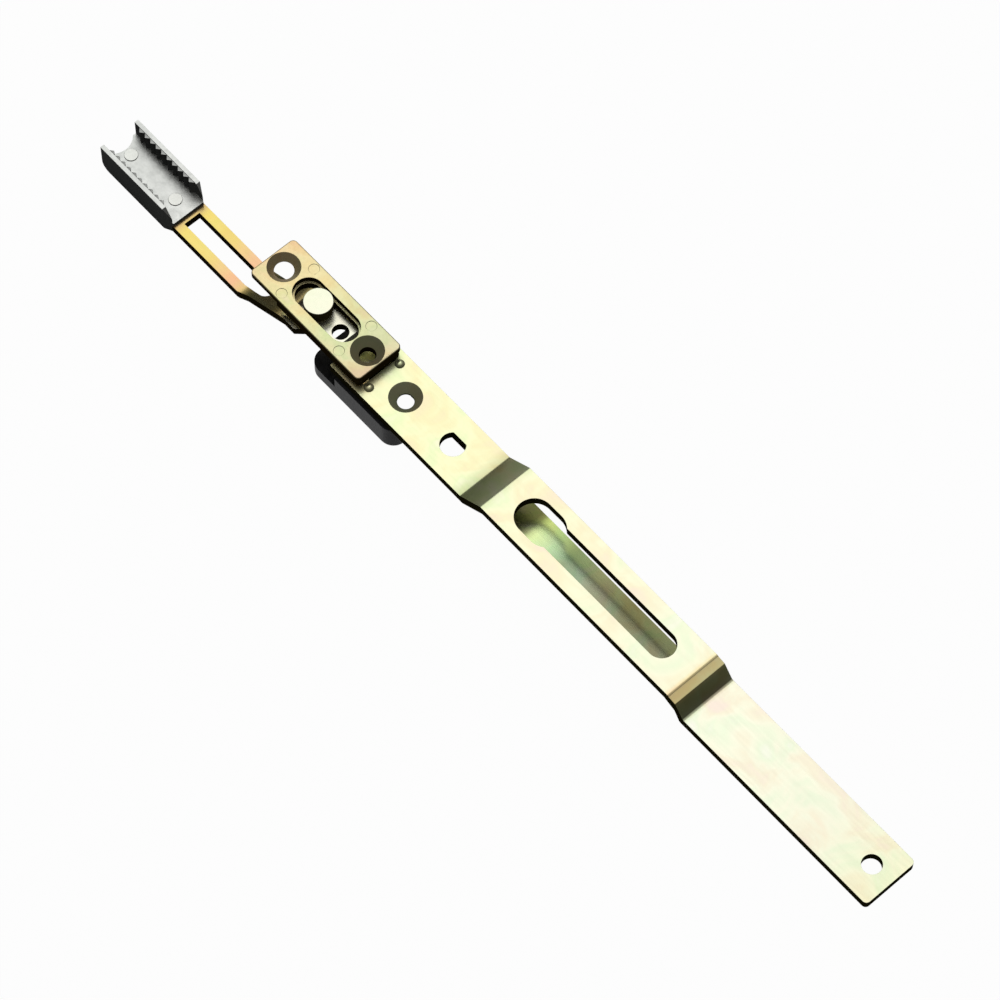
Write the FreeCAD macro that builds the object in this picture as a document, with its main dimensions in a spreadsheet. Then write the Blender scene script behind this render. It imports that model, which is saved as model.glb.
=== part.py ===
import FreeCAD, Part
import os

import Sketcher
from FreeCAD import Vector

# Tilt and turn espagnolette: a joggled faceplate, a guide block with a stepped
# slot, and a cranked drive rod that slides beneath with its cam stud and its
# serrated coupling. X runs along the faceplate from the coupling to the plain
# end, Y across it, Z up. The origin is the centre of the faceplate's
# countersunk screw hole, on the faceplate's top face. Millimetres.

doc = FreeCAD.newDocument("Espagnolette")
sheet = doc.addObject("Spreadsheet::Sheet", "Dims")

DIMENSIONS = [
    # faceplate
    ("plate_width", 16.0, "faceplate width"),
    ("plate_thick", 2.7, "faceplate thickness"),
    ("plate_right", 170.5, "screw hole to the plain end"),
    ("plate_left", 19.0, "screw hole to the forked end, under the block"),
    ("plate_corner", 1.2, "radius of the plain end's corners"),
    ("bridge_rise", 4.8, "rise of the raised bridge over the faceplate"),
    ("bridge_start", 29.1, "screw hole to the foot of the first joggle"),
    ("bridge_ramp", 7.2, "length of the first joggle"),
    ("bridge_end", 102.7, "screw hole to the top of the second joggle"),
    ("bridge_drop", 5.6, "length of the second joggle"),
    ("bend_radius", 1.2, "radius of the joggle bends"),
    ("lean_in", 0.29, "first joggle's underside shift over the thickness"),
    ("lean_out", 0.36, "second joggle's underside shift over the thickness"),
    ("screw_rim", 4.3, "radius of a countersink at the face"),
    ("screw_bore", 2.15, "radius of a screw hole"),
    ("dee_place", 17.4, "screw hole to the D hole"),
    ("dee_radius", 3.3, "radius of the D hole"),
    ("dee_flat", 2.35, "centre of the D hole to its flat"),
    ("end_bore", 2.55, "radius of the plain hole at the end"),
    ("end_margin", 6.4, "plain hole to the plain end"),
    ("key_left", 49.8, "screw hole to the keyhole's wide end"),
    ("key_long", 1.3, "straight part of the wide end"),
    ("key_radius", 5.0, "radius of the keyhole's wide end"),
    ("key_slot", 3.75, "half width of the keyhole's narrow slot"),
    ("key_reach", 42.0, "wide end to the centre of the slot's round end"),
    ("pip_radius", 1.35, "radius of a locating pip"),
    ("pip_spread", 5.0, "centre line to a pip"),
    ("pip_height", 0.9, "height of a pip"),
    ("pip_gap", 0.15, "guide block to a pip"),
    # guide block
    ("block_length", 40.8, "guide block length"),
    ("block_width", 14.4, "guide block width"),
    ("block_right", 9.4, "screw hole to the guide block"),
    ("block_height", 4.3, "guide block height over the faceplate"),
    ("cap_thick", 1.8, "thickness of the block's top plate where it overhangs"),
    ("cap_left", 9.2, "length of the top plate's overhang"),
    ("cap_lip", 0.3, "lip of the top plate round the block's body"),
    ("block_corner", 1.3, "radius of the block's corners"),
    ("block_edge", 0.35, "rounding of the block's top edge"),
    ("hole_margin", 4.7, "end of the block to a screw hole's centre"),
    ("slot_left", 7.7, "cam stud at rest to the slot's left end"),
    ("slot_length", 21.5, "length of the block's wide slot"),
    ("slot_wide", 4.1, "half width of the wide slot"),
    ("slot_ledge", 0.55, "width of the ledge in the slot"),
    ("slot_step", 1.85, "depth of the ledge"),
    ("mark_radius", 1.4, "radius of an ejector mark"),
    ("mark_depth", 0.15, "depth of an ejector mark"),
    ("mark_spread", 5.25, "centre line to an ejector mark"),
    # cam stud
    ("stud_place", 32.5, "screw hole to the cam stud at rest"),
    ("stud_head", 3.8, "radius of the stud's head"),
    ("stud_proud", 0.2, "height of the head over the guide block"),
    ("stud_tail", 1.8, "radius of the stud's riveted tail"),
    ("tail_head", 2.6, "radius of the tail's closed head"),
    ("tail_thick", 0.6, "thickness of the tail's closed head"),
    # drive rod
    ("rod_thick", 2.7, "drive rod thickness"),
    ("rod_width", 10.2, "drive rod width"),
    ("rod_right", 104.0, "screw hole to the rod's far end"),
    ("rod_drop", 8.66, "faceplate's top face down to the rod's low end"),
    ("rod_offset", 3.6, "sideways crank of the rod's low end"),
    ("ramp_left", 53.9, "screw hole to the foot of the rod's ramp"),
    ("ramp_knee", 50.2, "screw hole to the knee of the rod's ramp"),
    ("knee_drop", 7.0, "faceplate's top face down to the knee"),
    ("land_left", 36.6, "screw hole to the rod's raised land"),
    ("land_right", 21.7, "screw hole to the land's far end"),
    ("land_wing", 8.0, "centre line to the edge of the rod's wide ramp"),
    ("wing_end", 29.9, "screw hole to the end of the wide ramp"),
    ("wing_flare", 4.5, "length over which the ramp widens on its far side"),
    ("crank_run", 2.4, "length of the rod's crank under the faceplate"),
    ("rod_lean", 0.2, "shift of the rod's underside bends over the thickness"),
    ("leg_slot", 2.45, "half width of the slot between the rod's legs"),
    ("leg_slot_left", 77.4, "screw hole to the leg slot's closed end"),
    ("leg_slot_right", 48.0, "screw hole to the leg slot's round end"),
    ("relief_half", 3.0, "half width of the rod's relief slot"),
    ("relief_gap", 0.45, "clearance at either end of the relief slot's travel"),
    ("lock_bore", 2.2, "radius of the rod's locating hole"),
    ("lock_place", 8.2, "cam stud to the locating hole"),
    # coupling
    ("coup_left", 105.4, "screw hole to the coupling's open end"),
    ("coup_right", 78.6, "screw hole to the coupling's other end"),
    ("coup_width", 12.3, "coupling width"),
    ("coup_rise", 6.5, "coupling's top over the rod"),
    ("coup_floor", 1.2, "thickness of the coupling's floor over the rod"),
    ("coup_wall", 1.15, "thickness of a wall behind its teeth"),
    ("coup_saddle", 2.0, "depth of the hollow in the open end"),
    ("coup_web", 0.4, "web between the hollow and the rod's end"),
    ("coup_nose", 2.6, "radius under the open end"),
    ("coup_taper", 2.6, "length of the tapered shoulder"),
    ("coup_shoulder", 1.3, "depth of the tapered shoulder"),
    ("tooth_pitch", 2.15, "pitch of the serrations"),
    ("tooth_deep", 0.9, "depth of a serration"),
    ("tooth_count", 10.0, "serrations on a wall"),
    ("tooth_start", 1.9, "open end to the first serration"),
    ("tooth_low", 0.3, "coupling's top down to the serrations"),
    ("tooth_root", 0.2, "depth the serrations run into the wall"),
    ("rivet_radius", 1.3, "radius of a coupling rivet"),
    ("rivet_head", 1.8, "radius of a rivet's head"),
    ("rivet_thick", 0.25, "thickness of a rivet's head"),
    ("rivet_left", 4.2, "open end to the first rivet"),
    ("rivet_span", 17.4, "distance between the rivets"),
    # support guide under the faceplate
    ("guide_left", 26.6, "screw hole to the support guide's left end"),
    ("guide_right", 5.0, "screw hole to the support guide's right end"),
    ("guide_near", 8.9, "centre line to the guide's near side"),
    ("guide_far", 7.4, "centre line to the guide's far side"),
    ("guide_depth", 11.3, "faceplate's top face down to the guide's foot"),
    ("guide_step", 6.4, "faceplate's top face down to the guide's low shelf"),
    ("guide_shelf", 16.4, "screw hole to the end of the low shelf"),
    ("guide_round", 4.0, "radius of the guide's ends"),
    ("guide_edge", 1.4, "rounding of the guide's foot"),
    # clearances and travel
    ("run_gap", 0.05, "running clearance on a sliding face"),
    ("side_gap", 0.1, "running clearance beside a sliding edge"),
    ("travel_in", 3.6, "travel towards the coupling from rest"),
    ("travel_out", 9.7, "travel towards the plain end from rest"),
]

for row, (alias, number, meaning) in enumerate(DIMENSIONS, start=1):
    sheet.set(f"A{row}", meaning)
    sheet.set(f"B{row}", str(number))
    sheet.setAlias(f"B{row}", alias)
doc.recompute()


class Size:
    """A number that keeps the sheet expression it comes from."""

    def __init__(self, value, text):
        self.value = value
        self.text = text

    def __add__(self, other):
        other = as_size(other)
        return Size(self.value + other.value, f"({self.text} + {other.text})")

    def __sub__(self, other):
        other = as_size(other)
        return Size(self.value - other.value, f"({self.text} - {other.text})")

    def __mul__(self, other):
        other = as_size(other)
        return Size(self.value * other.value, f"({self.text} * {other.text})")

    def __neg__(self):
        return Size(-self.value, f"(0 - {self.text})")


def as_size(number):
    return number if isinstance(number, Size) else Size(float(number), str(number))


def dim(alias):
    """The sheet's value of one alias."""
    return Size(float(sheet.get(alias)), f"Dims.{alias}")


def bind(item, **sizes):
    """Tie properties of a document object to sheet expressions."""
    for prop, size in sizes.items():
        item.setExpression(prop, as_size(size).text)
    return item


def place(item, x=0, y=0, z=0):
    for axis, size in (("x", x), ("y", y), ("z", z)):
        item.setExpression(f"Placement.Base.{axis}", as_size(size).text)
    return item


def box(name, x, y, z):
    """A Part::Box between pairs of limits."""
    item = doc.addObject("Part::Box", name)
    bind(item, Length=as_size(x[1]) - x[0], Width=as_size(y[1]) - y[0], Height=as_size(z[1]) - z[0])
    return place(item, x[0], y[0], z[0])


def cylinder(name, radius, x, y, z):
    """An upright Part::Cylinder between two heights."""
    item = doc.addObject("Part::Cylinder", name)
    bind(item, Radius=radius, Height=as_size(z[1]) - z[0])
    return place(item, x, y, z[0])


def cone(name, low_radius, high_radius, x, y, z):
    item = doc.addObject("Part::Cone", name)
    bind(item, Radius1=low_radius, Radius2=high_radius, Height=as_size(z[1]) - z[0])
    return place(item, x, y, z[0])


def fuse(name, shapes):
    item = doc.addObject("Part::MultiFuse", name)
    item.Shapes = shapes
    item.Refine = True
    return item


def cut(name, base, tools):
    item = doc.addObject("Part::Cut", name)
    item.Base = base
    item.Tool = tools[0] if len(tools) == 1 else fuse(f"{name}_tools", tools)
    item.Refine = True
    return item


def common(name, first, second):
    item = doc.addObject("Part::MultiCommon", name)
    item.Shapes = [first, second]
    item.Refine = True
    return item


def obround(name, radius, x, y, z):
    """A round-ended slot tool between two end centres."""
    radius = as_size(radius)
    y = as_size(y)
    bar = box(f"{name}_bar", x, (y - radius, y + radius), z)
    ends = [cylinder(f"{name}_end{i}", radius, centre, y, z) for i, centre in enumerate(x)]
    return fuse(name, [bar] + ends)


def outline_sketch(body, plane, name, corners):
    """A closed sketch whose corners are tied to the sheet."""
    sketch = body.newObject("Sketcher::SketchObject", name)
    face = next(item for item in body.Origin.OriginFeatures if item.Role == plane)
    sketch.AttachmentSupport = [(face, "")]
    sketch.MapMode = "FlatFace"
    corners = [(as_size(u), as_size(v)) for u, v in corners]
    points = [Vector(u.value, v.value, 0) for u, v in corners]
    following = points[1:] + points[:1]
    sketch.addGeometry([Part.LineSegment(a, b) for a, b in zip(points, following)], False)
    for i, (u, v) in enumerate(corners):
        sketch.addConstraint(Sketcher.Constraint("Coincident", i, 2, (i + 1) % len(corners), 1))
        for kind, size in (("DistanceX", u), ("DistanceY", v)):
            index = sketch.addConstraint(Sketcher.Constraint(kind, -1, 1, i, 1, size.value))
            sketch.setExpression(f"Constraints[{index}]", size.text)
    return sketch


def rectangle(x, y):
    """Corners of a plan rectangle between pairs of limits."""
    return [(x[0], y[0]), (x[1], y[0]), (x[1], y[1]), (x[0], y[1])]


def plan_pad(name, corners, z):
    """A body padded up from a plan outline."""
    body = doc.addObject("PartDesign::Body", name)
    sketch = outline_sketch(body, "XY_Plane", f"{name}_plan", corners)
    pad = body.newObject("PartDesign::Pad", f"{name}_pad")
    pad.Profile = sketch
    bind(pad, Length=as_size(z[1]) - z[0])
    body.Tip = pad
    place(body, z=z[0])
    return body


def side_pad(name, corners, width):
    """A body padded both ways from a side profile."""
    body = doc.addObject("PartDesign::Body", name)
    sketch = outline_sketch(body, "XZ_Plane", f"{name}_side", corners)
    pad = body.newObject("PartDesign::Pad", f"{name}_pad")
    pad.Profile = sketch
    pad.SideType = "Symmetric"
    bind(pad, Length=width)
    body.Tip = pad
    return body


def edges_where(shape, test):
    """Names of the straight edges whose middle and direction pass a test."""
    names = []
    for index, edge in enumerate(shape.Edges, start=1):
        if not isinstance(edge.Curve, Part.Line):
            continue
        ends = [vertex.Point for vertex in edge.Vertexes]
        if test((ends[0] + ends[1]) * 0.5, (ends[1] - ends[0]).normalize()):
            names.append(f"Edge{index}")
    return names


def round_edges(body, name, radius, test):
    """A fillet on the edges of a body's tip that pass a test."""
    doc.recompute()
    tip = body.Tip
    fillet = body.newObject("PartDesign::Fillet", name)
    fillet.Base = (tip, edges_where(tip.Shape, test))
    bind(fillet, Radius=radius)
    body.Tip = fillet
    return body


def near(a, b):
    return abs(a - as_size(b).value) < 0.01


# Cutting tools run this far past the faces they cut.
OVER = 1.0

plate_half = dim("plate_width") * 0.5
plate_under = -dim("plate_thick")
block_right = -dim("block_right")
block_left = block_right - dim("block_length")
stud_x = -dim("stud_place")
rod_top = plate_under - dim("run_gap")
across = dim("plate_width") * 3
rod_half = dim("rod_width") * 0.5
land_top = -dim("run_gap")
crank_end = dim("crank_run") - dim("land_right")
rod_y = -dim("rod_offset")
rod_low = -dim("rod_drop")
rod_foot = rod_low - dim("rod_thick")
lock_x = stud_x + dim("lock_place")


def countersink(name, x, top, low):
    """A countersunk hole tool: a cone at 45 degrees over a bore."""
    neck = as_size(top) - (dim("screw_rim") - dim("screw_bore"))
    sink = cone(f"{name}_sink", dim("screw_bore"), dim("screw_rim"), x, 0, (neck, top))
    mouth = cylinder(f"{name}_mouth", dim("screw_rim"), x, 0, (top, as_size(top) + OVER))
    bore = cylinder(f"{name}_bore", dim("screw_bore"), x, 0, (low, as_size(neck) + 0.01))
    return fuse(name, [sink, mouth, bore])


def joggled_profile():
    """Side profile of the faceplate: flat, raised bridge, flat."""
    thick = dim("plate_thick")
    left, right = -dim("plate_left"), dim("plate_right")
    foot_in, top_in = dim("bridge_start"), dim("bridge_start") + dim("bridge_ramp")
    top_out, foot_out = dim("bridge_end"), dim("bridge_end") + dim("bridge_drop")
    rise = dim("bridge_rise")
    shift_in, shift_out = thick * dim("lean_in"), thick * dim("lean_out")
    return [
        (left, 0), (foot_in, 0), (top_in, rise), (top_out, rise), (foot_out, 0), (right, 0),
        (right, -thick), (foot_out - shift_out, -thick), (top_out - shift_out, rise - thick),
        (top_in + shift_in, rise - thick), (foot_in + shift_in, -thick), (left, -thick),
    ]


def make_faceplate():
    """Pressed steel strip with a fork, a joggled bridge and its holes."""
    profile = side_pad("plate_profile", joggled_profile(), dim("plate_width"))
    bends = (dim("bridge_start"), dim("bridge_start") + dim("bridge_ramp"),
             dim("bridge_end"), dim("bridge_end") + dim("bridge_drop"))
    reach = dim("plate_thick").value

    def at_bend(middle, along):
        return abs(along.y) > 0.99 and any(abs(middle.x - b.value) < reach for b in bends)

    def at_corner(middle, along):
        return abs(along.z) > 0.99 and near(middle.x, dim("plate_right"))

    round_edges(profile, "plate_bends", dim("bend_radius"), at_bend)
    round_edges(profile, "plate_corners", dim("plate_corner"), at_corner)
    high = dim("bridge_rise") + OVER
    low = plate_under - OVER
    through = (low, high)
    notch_half = rod_half + dim("side_gap") * 3
    notch = box("fork_notch", (-dim("plate_left") - OVER, block_right - dim("run_gap")),
                (-notch_half, notch_half), through)
    dee = cut("dee_tool", cylinder("dee_round", dim("dee_radius"), dim("dee_place"), 0, through),
              [box("dee_side", (dim("dee_place") - dim("dee_radius"), dim("dee_place") + dim("dee_radius")),
                   (dim("dee_flat"), dim("dee_radius") + OVER), (low - OVER, high + OVER))])
    key_x = dim("key_left")
    wide = obround("key_wide", dim("key_radius"), (key_x, key_x + dim("key_long")), 0, through)
    narrow = obround("key_narrow", dim("key_slot"), (key_x, key_x + dim("key_reach")), 0, through)
    end_x = dim("plate_right") - dim("end_margin")
    end_hole = cylinder("end_hole", dim("end_bore"), end_x, 0, through)
    holed = cut("plate_holed", profile,
                [notch, countersink("plate_screw", 0, 0, low), dee, wide, narrow, end_hole])
    pip_x = block_right + dim("pip_gap") + dim("pip_radius")
    pips = []
    for side in (-1, 1):
        pip = doc.addObject("Part::Sphere", f"pip{side + 1}")
        radius = dim("pip_radius")
        bind(pip, Radius=radius)
        place(pip, pip_x, dim("pip_spread") * side, dim("pip_height") - radius)
        pips.append(pip)
    return fuse("faceplate_strip", [holed] + pips)


def make_block():
    """Die-cast guide block: an overhanging top plate, a body and a stepped slot."""
    half = dim("block_width") * 0.5
    inner = half - dim("cap_lip")
    top = dim("block_height")
    body_left = block_left + dim("cap_left")
    body_right = block_right - dim("cap_lip")
    cap = plan_pad("block_cap", rectangle((block_left, block_right), (-half, half)),
                   (top - dim("cap_thick"), top))
    round_edges(cap, "cap_corners", dim("block_corner"), lambda middle, along: abs(along.z) > 0.99)
    round_edges(cap, "cap_edge", dim("block_edge"),
                lambda middle, along: near(middle.z, dim("cap_thick")) and abs(along.z) < 0.1)
    body = plan_pad("block_body", rectangle((body_left, body_right), (-inner, inner)),
                    (as_size(0), top - dim("cap_thick") * 0.5))
    round_edges(body, "body_corners", dim("block_corner") - dim("cap_lip"),
                lambda middle, along: abs(along.z) > 0.99)
    solid = fuse("block_solid", [cap, body])
    slot_x = stud_x - dim("slot_left")
    wide = dim("slot_wide")
    ledge = top - dim("slot_step")
    slot_ends = (slot_x + wide, slot_x + dim("slot_length") - wide)
    upper = obround("slot_upper", wide, slot_ends, 0, (ledge, top + OVER))
    lower = obround("slot_lower", wide - dim("slot_ledge"), slot_ends, 0, (-as_size(OVER), ledge + OVER))
    holes = [countersink(f"block_screw{i}", x, top, -as_size(OVER))
             for i, x in enumerate((block_left + dim("hole_margin"), block_right - dim("hole_margin")))]
    marks = []
    for i, x in enumerate((slot_x, slot_x + dim("slot_length"))):
        for side in (-1, 1):
            marks.append(cylinder(f"mark{i}{side + 1}", dim("mark_radius"), x, dim("mark_spread") * side,
                                  (top - dim("mark_depth"), top + OVER)))
    return cut("guide_block", solid, [upper, lower] + holes + marks)


def make_stud():
    """Headed stud riveted in the rod's land: a turned piece."""
    ledge = dim("block_height") - dim("slot_step")
    neck = dim("slot_wide") - dim("slot_ledge") - dim("side_gap")
    head_top = dim("block_height") + dim("stud_proud")
    land_under = land_top - dim("rod_thick")
    zero = as_size(0)
    body = doc.addObject("PartDesign::Body", "cam_stud")
    sketch = outline_sketch(body, "XZ_Plane", "stud_profile", [
        (zero, land_under - dim("tail_thick")), (dim("tail_head"), land_under - dim("tail_thick")),
        (dim("tail_head"), land_under), (dim("stud_tail"), land_under), (dim("stud_tail"), land_top),
        (neck, land_top), (neck, ledge + dim("run_gap")), (dim("stud_head"), ledge + dim("run_gap")),
        (dim("stud_head"), head_top), (zero, head_top)])
    turn = body.newObject("PartDesign::Revolution", "stud_turn")
    turn.Profile = sketch
    turn.ReferenceAxis = (sketch, ["V_Axis"])
    turn.Angle = 360
    body.Tip = turn
    place(body, x=stud_x)
    return body


def make_rod():
    """Flat bar with two legs, a wide ramp, a raised land and a run under the faceplate."""
    thick = dim("rod_thick")
    left = -dim("coup_left") + dim("coup_saddle") + dim("coup_web")
    foot, knee = -dim("ramp_left"), -dim("ramp_knee")
    land_in, land_out = -dim("land_left"), -dim("land_right")
    right = dim("rod_right")
    knee_z = -dim("knee_drop")
    bend = thick * dim("rod_lean")
    profile = side_pad("rod_profile", [
        (left, rod_low), (foot, rod_low), (knee, knee_z), (land_in, land_top),
        (land_out, land_top), (crank_end, rod_top), (right, rod_top),
        (right, rod_top - thick), (crank_end - bend, rod_top - thick),
        (land_out - bend, land_top - thick), (land_in + bend, land_top - thick),
        (knee + bend, knee_z - thick), (foot + bend, rod_foot), (left, rod_foot)], across)
    near_y, far_y = rod_y - rod_half, rod_y + rod_half
    wing, wing_end = -dim("land_wing"), -dim("wing_end")
    plan = plan_pad("rod_plan", [
        (left, near_y), (foot, near_y), (knee, wing), (wing_end - thick, wing), (wing_end, -rod_half),
        (right, -rod_half), (right, rod_half), (knee + dim("wing_flare") * 2, rod_half),
        (knee + dim("wing_flare"), far_y), (left, far_y)], (rod_foot - OVER, as_size(OVER)))
    round_edges(plan, "rod_corners", dim("plate_corner"),
                lambda middle, along: abs(along.z) > 0.99 and near(middle.x, right))
    bar = common("rod_bar", profile, plan)
    through = (rod_foot - OVER * 2, as_size(OVER * 2))
    leg_half = dim("leg_slot")
    leg_slot = fuse("leg_gap", [
        box("leg_straight", (-dim("leg_slot_left"), -dim("leg_slot_right")),
            (rod_y - leg_half, rod_y + leg_half), through),
        cylinder("leg_round", leg_half, -dim("leg_slot_right"), rod_y, through)])
    relief_half = dim("relief_half")
    relief_left = -(dim("screw_bore") + dim("travel_out") + dim("relief_gap"))
    relief_right = dim("dee_place") + dim("dee_radius") + dim("travel_in") + dim("relief_gap")
    relief = obround("relief_slot", relief_half,
                     (relief_left + relief_half, relief_right - relief_half), 0, through)
    tail = cylinder("stud_seat", dim("stud_tail"), stud_x, 0, through)
    lock = cylinder("lock_hole", dim("lock_bore"), lock_x, 0, through)
    rivets = [cylinder(f"rivet_seat{i}", dim("rivet_radius"), x, rod_y, through)
              for i, x in enumerate(rivet_places())]
    return cut("drive_rod", bar, [leg_slot, relief, tail, lock] + rivets)


def rivet_places():
    first = dim("rivet_left") - dim("coup_left")
    return (first, first + dim("rivet_span"))


def make_coupling():
    """Die-cast coupling: a channel with serrated walls over a seat for the rod's end."""
    left, right = -dim("coup_left"), -dim("coup_right")
    half = dim("coup_width") * 0.5
    top = rod_low + dim("coup_rise")
    shoulder = right - dim("coup_taper")
    waist = half - dim("coup_shoulder")
    body = plan_pad("coupling_block", [
        (left, rod_y - half), (shoulder, rod_y - half), (right, rod_y - waist), (right, rod_y + waist),
        (shoulder, rod_y + half), (left, rod_y + half)], (rod_foot, top))
    round_edges(body, "coupling_nose", dim("coup_nose"),
                lambda middle, along: abs(along.y) > 0.99 and near(middle.z, 0) and near(middle.x, left))
    inner = half - dim("coup_wall")
    floor = rod_low + dim("coup_floor")
    channel = box("channel", (left - OVER, right + OVER), (rod_y - inner, rod_y + inner),
                  (floor, top + OVER))
    seat = box("rod_seat", (left + dim("coup_saddle") + dim("coup_web"), right + OVER),
               (rod_y - rod_half, rod_y + rod_half), (rod_foot - OVER, rod_low))
    saddle_radius = inner + dim("side_gap")
    saddle = cylinder("saddle", saddle_radius, left - saddle_radius + dim("coup_saddle"), rod_y,
                      (rod_foot - OVER, top + OVER))
    slope = side_pad("shoulder_slope", [
        (shoulder, top), (right + OVER, floor), (right + OVER, top + OVER), (shoulder, top + OVER)],
        across)
    hull = cut("coupling_hull", body, [channel, seat, saddle, slope])
    teeth = []
    for side in (-1, 1):
        root = rod_y + inner * side
        back = root + dim("tooth_root") * side
        tip = rod_y + (inner - dim("tooth_deep")) * side
        start = left + dim("tooth_start")
        pitch = dim("tooth_pitch")
        rack = doc.addObject("PartDesign::Body", f"teeth{side + 1}")
        sketch = outline_sketch(rack, "XY_Plane", f"tooth_plan{side + 1}", [
            (start, back), (start, root), (start + pitch * 0.5, tip), (start + pitch, root),
            (start + pitch, back)])
        pad = rack.newObject("PartDesign::Pad", f"tooth{side + 1}")
        pad.Profile = sketch
        bind(pad, Length=dim("coup_rise") - dim("coup_floor") - dim("tooth_low"))
        rack.Tip = pad
        doc.recompute()
        row = rack.newObject("PartDesign::LinearPattern", f"tooth_row{side + 1}")
        row.Originals = [pad]
        row.Direction = (sketch, ["H_Axis"])
        row.Occurrences = int(dim("tooth_count").value)
        row.setExpression("Occurrences", "Dims.tooth_count")
        row.setExpression("Length", "Dims.tooth_pitch * (Dims.tooth_count - 1)")
        rack.Tip = row
        place(rack, z=floor)
        teeth.append(rack)
    bores = [cylinder(f"coupling_bore{i}", dim("rivet_radius"), x, rod_y, (rod_foot - OVER, floor + OVER))
             for i, x in enumerate(rivet_places())]
    return cut("serrated_coupling", fuse("coupling_toothed", [hull] + teeth), bores)


def make_rivets():
    """Two rivets through the coupling's floor and the rod's end."""
    floor = rod_low + dim("coup_floor")
    pieces = []
    for i, x in enumerate(rivet_places()):
        shank = cylinder(f"rivet_shank{i}", dim("rivet_radius"), x, rod_y,
                         (rod_foot, floor + dim("rivet_thick") * 0.5))
        head = cylinder(f"rivet_top{i}", dim("rivet_head"), x, rod_y,
                        (floor, floor + dim("rivet_thick")))
        pieces.append(fuse(f"rivet{i}", [shank, head]))
    group = doc.addObject("Part::Compound", "coupling_rivets")
    group.Links = pieces
    return group


def make_guide():
    """Moulded support guide under the faceplate, with a channel for the rod."""
    left, right = -dim("guide_left"), dim("guide_right")
    near_y, far_y = -dim("guide_near"), dim("guide_far")
    body = plan_pad("guide_solid", rectangle((left, right), (near_y, far_y)),
                    (-dim("guide_depth"), plate_under))
    round_edges(body, "guide_ends", dim("guide_round"), lambda middle, along: abs(along.z) > 0.99)
    round_edges(body, "guide_foot", dim("guide_edge"),
                lambda middle, along: abs(along.z) < 0.1 and near(middle.z, 0))
    half = rod_half + dim("side_gap")
    channel_floor = rod_top - dim("rod_thick") - dim("run_gap")
    channel = box("guide_channel", (left - OVER, right + OVER), (-half, half),
                  (channel_floor, as_size(OVER)))
    shelf = box("guide_low", (left - OVER, -dim("guide_shelf")), (near_y - OVER, far_y + OVER),
                (-dim("guide_step"), as_size(OVER)))
    screw = cylinder("guide_bore", dim("screw_bore") + dim("side_gap") * 2, 0, 0,
                     (-dim("guide_depth") - OVER, as_size(0)))
    return cut("support_guide", body, [channel, shelf, screw])


parts = {
    "faceplate_strip": make_faceplate(),
    "guide_block": make_block(),
    "support_guide": make_guide(),
    "drive_rod": make_rod(),
    "cam_stud": make_stud(),
    "serrated_coupling": make_coupling(),
    "coupling_rivets": make_rivets(),
}
for label, item in parts.items():
    item.Label = label
doc.recompute()

for item in doc.Objects:
    if "Invalid" in item.State or "Error" in item.State:
        raise RuntimeError(f"{item.Label} did not compute: {item.State}")

os.makedirs("parts", exist_ok=True)
for label, item in parts.items():
    shape = item.Shape
    if shape.isNull() or not shape.isValid():
        raise RuntimeError(f"{label} has no valid shape")
    shape.exportStep(f"parts/{label}.step")
    box_size = shape.BoundBox
    print(f"{label}: {len(shape.Solids)} solid(s), {shape.Volume:.1f} mm3, "
          f"x {box_size.XMin:.2f} to {box_size.XMax:.2f}, z {box_size.ZMin:.2f} to {box_size.ZMax:.2f}")
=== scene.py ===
import math

import bmesh
import bpy
from mathutils import Matrix, Vector


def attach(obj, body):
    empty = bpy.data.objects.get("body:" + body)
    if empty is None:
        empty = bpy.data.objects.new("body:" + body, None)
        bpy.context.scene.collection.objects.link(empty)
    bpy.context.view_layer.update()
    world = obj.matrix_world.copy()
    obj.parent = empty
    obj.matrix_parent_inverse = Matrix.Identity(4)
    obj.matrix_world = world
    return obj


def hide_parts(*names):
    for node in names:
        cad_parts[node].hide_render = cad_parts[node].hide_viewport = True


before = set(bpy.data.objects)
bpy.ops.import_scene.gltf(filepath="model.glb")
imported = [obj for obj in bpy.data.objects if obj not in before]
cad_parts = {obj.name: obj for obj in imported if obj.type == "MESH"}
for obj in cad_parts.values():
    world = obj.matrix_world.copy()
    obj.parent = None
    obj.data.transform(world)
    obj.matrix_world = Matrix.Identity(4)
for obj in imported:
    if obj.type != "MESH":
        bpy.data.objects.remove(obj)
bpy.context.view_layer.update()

# The view and the light. The camera stands where it stood for the photograph,
# looking down the length of the faceplate from its near right end. One broad
# soft lamp hangs over the far side, and the sky is bright above and dim low down.

looked_at = Vector((0.03626, -0.00151, 0.0))
camera_distance = 1.0928
azimuth, elevation, roll = math.radians(-43.0), math.radians(62.89), math.radians(1.41)
towards_camera = Vector((math.cos(elevation) * math.cos(azimuth),
                         math.cos(elevation) * math.sin(azimuth),
                         math.sin(elevation)))
level_right = (-towards_camera).cross(Vector((0, 0, 1))).normalized()
level_up = level_right.cross(-towards_camera)
right = level_right * math.cos(roll) + level_up * math.sin(roll)
up = level_up * math.cos(roll) - level_right * math.sin(roll)
camera = bpy.data.objects.new("camera", bpy.data.cameras.new("camera"))
bpy.context.collection.objects.link(camera)
camera.data.sensor_width = 36.0
camera.data.lens = 163.13
camera.data.clip_start, camera.data.clip_end = 0.05, 20.0
stand = Matrix.Translation(looked_at + towards_camera * camera_distance)
camera.matrix_world = stand @ Matrix((right, up, towards_camera)).transposed().to_4x4()
bpy.context.scene.camera = camera
bpy.context.scene.view_settings.view_transform = "Standard"

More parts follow.
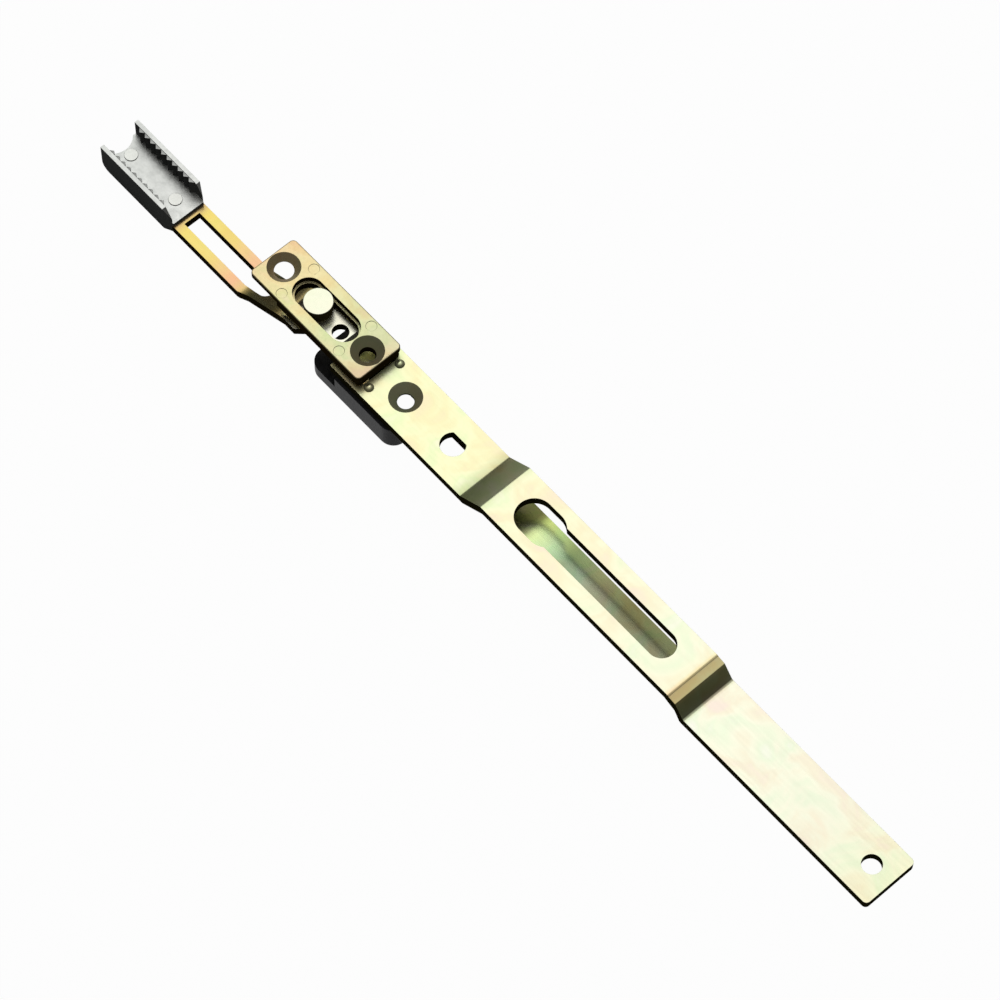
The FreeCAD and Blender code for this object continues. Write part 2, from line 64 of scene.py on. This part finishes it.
lamp_place, lamp_aim = Vector((-0.24, 0.25, 0.71)), Vector((0.03, 0, 0))
overhead = bpy.data.objects.new("overhead", bpy.data.lights.new("overhead", "AREA"))
bpy.context.collection.objects.link(overhead)
overhead.data.shape = "DISK"
overhead.data.size = 0.75
overhead.data.energy = 1.02
overhead.location = lamp_place
overhead.rotation_euler = (lamp_aim - lamp_place).to_track_quat("-Z", "Y").to_euler()


def colour_ramp(nodes, stops):
    """A ramp node with a colour at each of the given places."""
    ramp = nodes.new("ShaderNodeValToRGB")
    while len(ramp.color_ramp.elements) < len(stops):
        ramp.color_ramp.elements.new(0.5)
    for element, (position, colour) in zip(ramp.color_ramp.elements, stops):
        element.position = position
        element.color = (*colour, 1)
    return ramp


sky = bpy.data.worlds.new("sky")
bpy.context.scene.world = sky
sky.use_nodes = True
sky_nodes, sky_links = sky.node_tree.nodes, sky.node_tree.links
direction = sky_nodes.new("ShaderNodeTexCoord")
height = sky_nodes.new("ShaderNodeSeparateXYZ")
fade = colour_ramp(sky_nodes, [(0.20, (0.06, 0.06, 0.06)), (0.90, (0.42, 0.42, 0.42))])
sky_links.new(direction.outputs["Generated"], height.inputs[0])
sky_links.new(height.outputs["Z"], fade.inputs["Fac"])
sky_links.new(fade.outputs["Color"], sky_nodes["Background"].inputs["Color"])

# The floor is a sheet of white paper. Where the camera or a gloss sees it, it
# glows for all but a small share, which is lit and keeps the shadow.

floor_height, glowing_share = -0.0116, 0.97
bpy.ops.mesh.primitive_plane_add(size=6, location=(0, 0, floor_height))
floor = bpy.context.object
floor.name = "floor"
paper = bpy.data.materials.new("white_paper")
paper.use_nodes = True
paper_nodes, paper_links = paper.node_tree.nodes, paper.node_tree.links
paper_shader = paper_nodes["Principled BSDF"]
paper_shader.inputs["Base Color"].default_value = (0.93, 0.93, 0.93, 1)
paper_shader.inputs["Roughness"].default_value = 0.9
glow = paper_nodes.new("ShaderNodeEmission")
ray = paper_nodes.new("ShaderNodeLightPath")
seen = paper_nodes.new("ShaderNodeMath")
seen.operation = "MAXIMUM"
seen_share = paper_nodes.new("ShaderNodeMath")
seen_share.operation = "MULTIPLY"
seen_share.inputs[1].default_value = glowing_share
paper_mix = paper_nodes.new("ShaderNodeMixShader")
paper_links.new(ray.outputs["Is Camera Ray"], seen.inputs[0])
paper_links.new(ray.outputs["Is Glossy Ray"], seen.inputs[1])
paper_links.new(seen.outputs[0], seen_share.inputs[0])
paper_links.new(seen_share.outputs[0], paper_mix.inputs["Fac"])
paper_links.new(paper_shader.outputs[0], paper_mix.inputs[1])
paper_links.new(glow.outputs[0], paper_mix.inputs[2])
paper_links.new(paper_mix.outputs[0], paper_nodes["Material Output"].inputs["Surface"])
floor.data.materials.append(paper)


# The faceplate: a rolled steel strip, pierced, joggled up into a bridge and zinc
# plated, then yellow passivated, which leaves gold with green and pink clouds.
# Its cut edges and slopes are painted dark, as shade.

def round_ended(start, end, half_width, low, high):
    """A block with round ends between two places, to cut an opening with."""
    start, end = Vector(start), Vector(end)
    turn = math.atan2(end.y - start.y, end.x - start.x)
    arc_steps = 36
    form = bmesh.new()
    rim = []
    for middle, first in ((end, -90), (start, 90)):
        for step in range(arc_steps + 1):
            angle = turn + math.radians(first + step * 180 / arc_steps)
            rim.append(form.verts.new((middle.x + half_width * math.cos(angle),
                                       middle.y + half_width * math.sin(angle), low)))
    raised = bmesh.ops.extrude_face_region(form, geom=[form.faces.new(rim)])
    bmesh.ops.translate(form, vec=(0, 0, high - low),
                        verts=[v for v in raised["geom"] if isinstance(v, bmesh.types.BMVert)])
    bmesh.ops.recalc_face_normals(form, faces=form.faces)
    block = bpy.data.objects.new("opening", bpy.data.meshes.new("opening"))
    form.to_mesh(block.data)
    form.free()
    bpy.context.collection.objects.link(block)
    return block


def eased(node, name, radius, opening=None, fold=None):
    """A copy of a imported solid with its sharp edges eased, in the solid's place.

    An opening is cut out of it first. A fold, given as a place along X and a
    height, raises the line across the copy at that place by that height.
    """
    same_point, same_plane, sharp_edge = 0.000002, math.radians(1.0), math.radians(32)
    piece = bpy.data.objects.new(name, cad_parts[node].data.copy())
    bpy.context.collection.objects.link(piece)
    piece.data.materials.clear()
    bpy.ops.object.select_all(action="DESELECT")
    piece.select_set(True)
    bpy.context.view_layer.objects.active = piece
    bpy.ops.mesh.customdata_custom_splitnormals_clear()
    bpy.ops.object.mode_set(mode="EDIT")
    bpy.ops.mesh.select_all(action="SELECT")
    bpy.ops.mesh.remove_doubles(threshold=same_point)
    bpy.ops.mesh.dissolve_limited(angle_limit=same_plane)
    bpy.ops.object.mode_set(mode="OBJECT")
    if opening:
        widened = piece.modifiers.new("widened", "BOOLEAN")
        widened.object = opening
        widened.solver = "EXACT"
        bpy.ops.object.modifier_apply(modifier=widened.name)
        bpy.data.objects.remove(opening)
    if fold:
        place, lift = fold
        form = bmesh.new()
        form.from_mesh(piece.data)
        line = bmesh.ops.bisect_plane(form, geom=form.verts[:] + form.edges[:] + form.faces[:],
                                      plane_co=(place, 0, 0), plane_no=(1, 0, 0))
        for part in line["geom_cut"]:
            if isinstance(part, bmesh.types.BMVert):
                part.co.z += lift
        form.to_mesh(piece.data)
        form.free()
    edge = piece.modifiers.new("edge", "BEVEL")
    edge.width = radius
    edge.segments = 2
    edge.limit_method = "ANGLE"
    edge.angle_limit = sharp_edge
    bpy.ops.object.modifier_apply(modifier=edge.name)
    bpy.ops.object.shade_smooth()
    flat = piece.modifiers.new("flat", "WEIGHTED_NORMAL")
    flat.weight = 80
    bpy.ops.object.modifier_apply(modifier=flat.name)
    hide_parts(node)
    return piece


def plated(name, along, clouds, cloud_share, cloud_scale, painted_side_shade, grain, rough, bump):
    """A metal's skin: colours along X, drifting clouds, painted shade on sloped and upright
    faces, and a grain.
    """
    coat = bpy.data.materials.new(name)
    coat.use_nodes = True
    nodes, links = coat.node_tree.nodes, coat.node_tree.links
    shader = nodes["Principled BSDF"]
    shader.inputs["Specular IOR Level"].default_value = 0.0
    place = nodes.new("ShaderNodeTexCoord")
    split = nodes.new("ShaderNodeSeparateXYZ")
    links.new(place.outputs["Object"], split.inputs[0])

    left_end, right_end = -0.110, 0.175
    span = nodes.new("ShaderNodeMapRange")
    span.inputs["From Min"].default_value = left_end
    span.inputs["From Max"].default_value = right_end
    links.new(split.outputs["X"], span.inputs["Value"])
    lengthways = colour_ramp(nodes, [((x - left_end) / (right_end - left_end), colour)
                                     for x, colour in along])
    links.new(span.outputs[0], lengthways.inputs["Fac"])

    drift = nodes.new("ShaderNodeTexNoise")
    drift.inputs["Scale"].default_value = cloud_scale
    drift.inputs["Detail"].default_value = 3.0
    drift.inputs["Distortion"].default_value = 0.6
    links.new(place.outputs["Object"], drift.inputs["Vector"])
    tints = colour_ramp(nodes, clouds)
    links.new(drift.outputs["Fac"], tints.inputs["Fac"])
    clouded = nodes.new("ShaderNodeMix")
    clouded.data_type = "RGBA"
    clouded.inputs["Factor"].default_value = cloud_share
    links.new(lengthways.outputs["Color"], clouded.inputs["A"])
    links.new(tints.outputs["Color"], clouded.inputs["B"])

    # A face that points up or down keeps the coat and is metal. A face that slopes
    # or stands upright is painted dark as shade and loses the metal's reflection of the floor.
    facing = nodes.new("ShaderNodeSeparateXYZ")
    upright = nodes.new("ShaderNodeMath")
    upright.operation = "ABSOLUTE"
    painted_shade_part = colour_ramp(nodes, [(0.30, (1, 1, 1)), (0.80, (0.62, 0.62, 0.62)),
                                   (0.92, (0, 0, 0))])
    links.new(place.outputs["Normal"], facing.inputs[0])
    links.new(facing.outputs["Z"], upright.inputs[0])
    links.new(upright.outputs[0], painted_shade_part.inputs["Fac"])
    coloured = nodes.new("ShaderNodeMix")
    coloured.data_type = "RGBA"
    coloured.inputs["B"].default_value = (*painted_side_shade, 1)
    links.new(painted_shade_part.outputs["Color"], coloured.inputs["Factor"])
    links.new(clouded.outputs["Result"], coloured.inputs["A"])
    links.new(coloured.outputs["Result"], shader.inputs["Base Color"])
    unshaded_metal_part = nodes.new("ShaderNodeInvert")
    links.new(painted_shade_part.outputs["Color"], unshaded_metal_part.inputs["Color"])
    links.new(unshaded_metal_part.outputs["Color"], shader.inputs["Metallic"])

    lay = nodes.new("ShaderNodeMapping")
    lay.inputs["Scale"].default_value = grain
    links.new(place.outputs["Object"], lay.inputs["Vector"])
    streaks = nodes.new("ShaderNodeTexNoise")
    streaks.inputs["Scale"].default_value = 1.0
    streaks.inputs["Detail"].default_value = 4.0
    links.new(lay.outputs[0], streaks.inputs["Vector"])
    sheen = nodes.new("ShaderNodeMapRange")
    sheen.inputs["To Min"].default_value = rough[0]
    sheen.inputs["To Max"].default_value = rough[1]
    links.new(streaks.outputs["Fac"], sheen.inputs["Value"])
    links.new(sheen.outputs[0], shader.inputs["Roughness"])
    relief = nodes.new("ShaderNodeBump")
    relief.inputs["Strength"].default_value = bump
    relief.inputs["Distance"].default_value = 0.00004
    links.new(streaks.outputs["Fac"], relief.inputs["Height"])
    links.new(relief.outputs[0], shader.inputs["Normal"])
    return coat


# The keyhole's wide end runs 2.9 mm further left than in the solid, and the far
# joggle is folded into a shallow facet and a steep one, as photographed.
keyhole_end = round_ended(start=(0.0469, 0), end=(0.0498, 0), half_width=0.00498,
                          low=0.0, high=0.006)
far_joggle_fold, fold_height = 0.1052, 0.00145
cloud_tints = [(0.30, (0.96, 0.62, 0.44)), (0.42, (0.95, 0.78, 0.38)), (0.52, (0.98, 0.96, 0.56)),
               (0.62, (0.74, 0.92, 0.46)), (0.72, (0.95, 0.94, 0.72))]
faceplate = eased("faceplate_strip", "faceplate", radius=0.00018, opening=keyhole_end,
                  fold=(far_joggle_fold, fold_height))
# Along X the strip is painted dark olive where the near joggle and the steep facet of the far
# joggle slope: painted shade.
faceplate.data.materials.append(plated(
    "yellow_passivated_strip",
    along=[(-0.010, (0.97, 0.98, 0.62)), (0.026, (0.98, 0.99, 0.66)),
           (0.030, (0.40, 0.42, 0.20)), (0.034, (0.55, 0.58, 0.30)),
           (0.038, (0.98, 0.98, 0.72)), (0.098, (0.99, 0.99, 0.86)),
           (0.1020, (0.99, 0.99, 0.80)), (0.1028, (0.95, 0.72, 0.30)),
           (0.1050, (0.90, 0.76, 0.34)), (0.1056, (0.36, 0.46, 0.18)),
           (0.1078, (0.40, 0.48, 0.22)), (0.1088, (0.99, 0.99, 0.90)),
           (0.150, (0.99, 0.99, 0.91)), (0.170, (0.98, 0.99, 0.76))],
    clouds=cloud_tints, cloud_share=0.38, cloud_scale=95.0, painted_side_shade=(0.016, 0.014, 0.004),
    grain=(90, 1400, 1400), rough=(0.24, 0.36), bump=0.25))
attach(faceplate, "base")

# The guide block: a zinc die casting with an overhanging top plate, a stepped
# slot for the stud and two countersinks. Its skin is speckled from the die and
# it is passivated to gold, going pink at the corner and green past the slot.

guide_block = eased("guide_block", "cast_guide_block", radius=0.00012)
# Its sides and slopes are painted dark, as shade.
guide_block.data.materials.append(plated(
    "yellow_passivated_casting",
    along=[(-0.050, (0.98, 0.64, 0.36)), (-0.044, (0.96, 0.74, 0.38)),
           (-0.034, (0.94, 0.80, 0.42)), (-0.026, (0.76, 0.78, 0.42)),
           (-0.018, (0.78, 0.74, 0.44)), (-0.009, (0.74, 0.62, 0.42))],
    clouds=cloud_tints, cloud_share=0.42, cloud_scale=120.0, painted_side_shade=(0.018, 0.012, 0.003),
    grain=(1500, 1500, 1500), rough=(0.30, 0.44), bump=0.4))
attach(guide_block, "base")

# The support guide: one black moulding under the faceplate that carries the rod
# in a channel. It is smooth nylon with rounded ends and a long soft highlight.
# A window in its floor lets the light through under the screw hole.

floor_window = round_ended(start=(-0.0019, -0.0024), end=(-0.0019, 0.0024), half_width=0.004,
                           low=-0.012, high=-0.00545)
support_guide = eased("support_guide", "moulded_support_guide", radius=0.00015,
                      opening=floor_window)
nylon = bpy.data.materials.new("black_nylon")
nylon.use_nodes = True
nylon_nodes, nylon_links = nylon.node_tree.nodes, nylon.node_tree.links
nylon_shader = nylon_nodes["Principled BSDF"]
nylon_shader.inputs["Specular IOR Level"].default_value = 0.05
nylon_place = nylon_nodes.new("ShaderNodeTexCoord")
flow = nylon_nodes.new("ShaderNodeTexNoise")
flow.inputs["Scale"].default_value = 900.0
flow.inputs["Detail"].default_value = 4.0
nylon_tone = colour_ramp(nylon_nodes, [(0.3, (0.010, 0.010, 0.011)),
                                       (0.7, (0.024, 0.024, 0.026))])
nylon_sheen = nylon_nodes.new("ShaderNodeMapRange")
nylon_sheen.inputs["To Min"].default_value = 0.28
nylon_sheen.inputs["To Max"].default_value = 0.42
nylon_relief = nylon_nodes.new("ShaderNodeBump")
nylon_relief.inputs["Strength"].default_value = 0.3
nylon_relief.inputs["Distance"].default_value = 0.00003
nylon_links.new(nylon_place.outputs["Object"], flow.inputs["Vector"])
nylon_links.new(flow.outputs["Fac"], nylon_tone.inputs["Fac"])
nylon_links.new(flow.outputs["Fac"], nylon_sheen.inputs["Value"])
nylon_links.new(flow.outputs["Fac"], nylon_relief.inputs["Height"])
nylon_links.new(nylon_tone.outputs["Color"], nylon_shader.inputs["Base Color"])
nylon_links.new(nylon_sheen.outputs[0], nylon_shader.inputs["Roughness"])
nylon_links.new(nylon_relief.outputs[0], nylon_shader.inputs["Normal"])
support_guide.data.materials.append(nylon)
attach(support_guide, "base")

# The drive rod: flat steel bar, slotted into two legs at the low end and cranked
# up under the guide block. Its coat is the deepest gold on the part, going
# orange along the legs. Its colour along X also holds painted light: dark olive
# painted shade on the ramp, a pale painted light on the land in the block's
# slot, painted shadow under the faceplate and its bridge, and a bright
# yellow-green painted pool of light where the keyhole lets light in.

drive_rod = eased("drive_rod", "cranked_drive_rod", radius=0.00018)
drive_rod.data.materials.append(plated(
    "yellow_passivated_rod",
    along=[(-0.079, (0.60, 0.36, 0.20)), (-0.076, (0.88, 0.68, 0.14)),
           (-0.066, (0.84, 0.66, 0.18)), (-0.057, (0.90, 0.46, 0.28)),
           (-0.052, (0.70, 0.54, 0.18)), (-0.049, (0.14, 0.12, 0.04)),
           (-0.040, (0.18, 0.16, 0.06)), (-0.036, (0.97, 0.96, 0.82)),
           (-0.008, (0.97, 0.96, 0.82)), (0.040, (0.04, 0.035, 0.01)),
           (0.0455, (0.06, 0.06, 0.02)), (0.0475, (0.74, 0.90, 0.40)),
           (0.052, (0.52, 0.74, 0.40)), (0.058, (0.20, 0.32, 0.20)),
           (0.066, (0.24, 0.30, 0.22)), (0.078, (0.13, 0.15, 0.09)),
           (0.104, (0.15, 0.16, 0.12))],
    clouds=cloud_tints, cloud_share=0.16, cloud_scale=130.0, painted_side_shade=(0.016, 0.012, 0.004),
    grain=(90, 1400, 1400), rough=(0.20, 0.32), bump=0.25))
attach(drive_rod, "slider")

# The cam stud: a turned steel stud riveted through the rod's raised land. Its
# head slides on the ledge in the block's slot and is worn pale and smooth.

cam_stud = eased("cam_stud", "turned_cam_stud", radius=0.00020)
# The stud's sides are painted darker, as shade.
cam_stud.data.materials.append(plated(
    "pale_passivated_stud",
    along=[(-0.037, (0.92, 0.93, 0.72)), (-0.028, (0.93, 0.94, 0.76))],
    clouds=cloud_tints, cloud_share=0.08, cloud_scale=220.0, painted_side_shade=(0.060, 0.050, 0.020),
    grain=(700, 700, 700), rough=(0.22, 0.32), bump=0.12))
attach(cam_stud, "slider")

# The serrated coupling: a grey zinc die casting in the shape of a channel, with a
# row of teeth on each wall that mesh with the next rod's coupling. It is left
# bare, so it is matt. Its sides are painted darker than its floor, as shade.

coupling = eased("serrated_coupling", "cast_serrated_coupling", radius=0.00012)
coupling.data.materials.append(plated(
    "bare_zinc_casting",
    along=[(-0.105, (0.80, 0.82, 0.78)), (-0.078, (0.84, 0.84, 0.80))],
    clouds=[(0.35, (0.64, 0.66, 0.63)), (0.65, (0.90, 0.92, 0.88))],
    cloud_share=0.5, cloud_scale=420.0, painted_side_shade=(0.060, 0.062, 0.060),
    grain=(1300, 1300, 1300), rough=(0.30, 0.44), bump=0.4))
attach(coupling, "slider")

# The rivets: the rod's end is held in the coupling by two shanks, peened over
# into low round heads on the channel's floor.

rivets = eased("coupling_rivets", "peened_rivets", radius=0.00008)
# The rivets' sides are painted darker, as shade.
rivets.data.materials.append(plated(
    "peened_zinc",
    along=[(-0.103, (0.82, 0.84, 0.78)), (-0.082, (0.86, 0.86, 0.80))],
    clouds=[(0.35, (0.78, 0.80, 0.76)), (0.65, (0.98, 0.99, 0.94))],
    cloud_share=0.4, cloud_scale=500.0, painted_side_shade=(0.10, 0.10, 0.10),
    grain=(2200, 2200, 2200), rough=(0.28, 0.40), bump=0.4))
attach(rivets, "slider")
